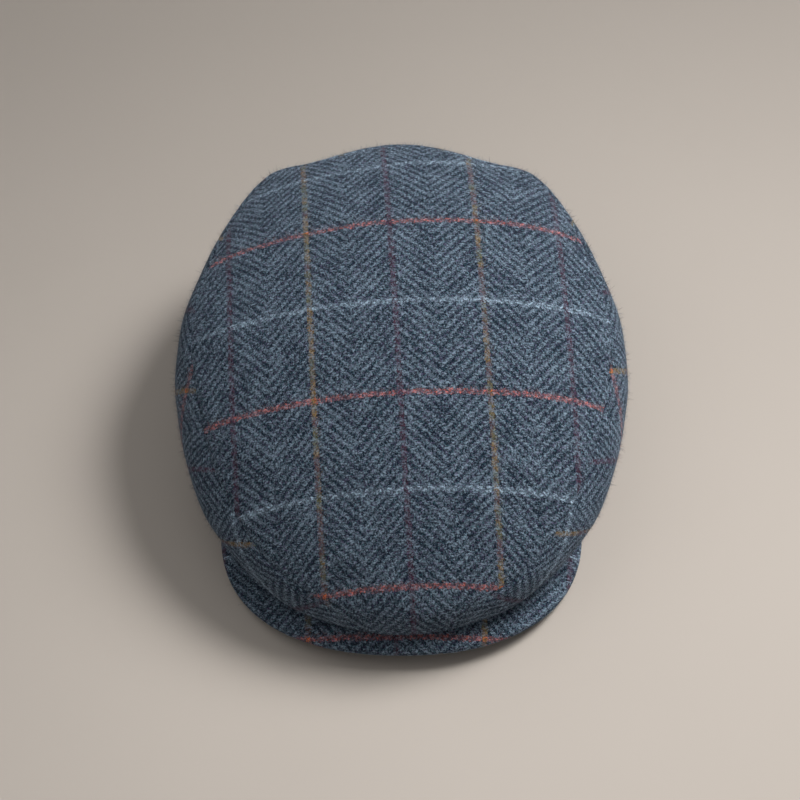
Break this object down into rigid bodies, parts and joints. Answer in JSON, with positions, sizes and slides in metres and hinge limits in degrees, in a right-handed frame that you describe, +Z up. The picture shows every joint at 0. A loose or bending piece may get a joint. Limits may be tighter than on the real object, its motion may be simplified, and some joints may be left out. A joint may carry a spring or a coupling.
{
  "type": "flat cap",
  "caption": "Soft rounded cap with a low crown that rolls over a short stiff cloth-covered peak, lying on its rim, open underneath for a head.",
  "frame": {"origin": "middle of the cap in plan, on the plane that the rim rests on", "axes": "+Z up, -Y towards the peak, +X towards the wearer's left side, which is right in the picture"},
  "size_m": [0.2154, 0.2562, 0.09],
  "materials": {
    "tweed_top": "matt brushed wool tweed",
    "tweed_side": "matt brushed wool tweed",
    "tweed_peak": "matt brushed wool tweed over a stiff board"
  },
  "bodies": {
    "root": {"crown_top": "tweed_top", "side_left": "tweed_side", "side_right": "tweed_side", "peak": "tweed_peak"}
  },
  "joints": []
}
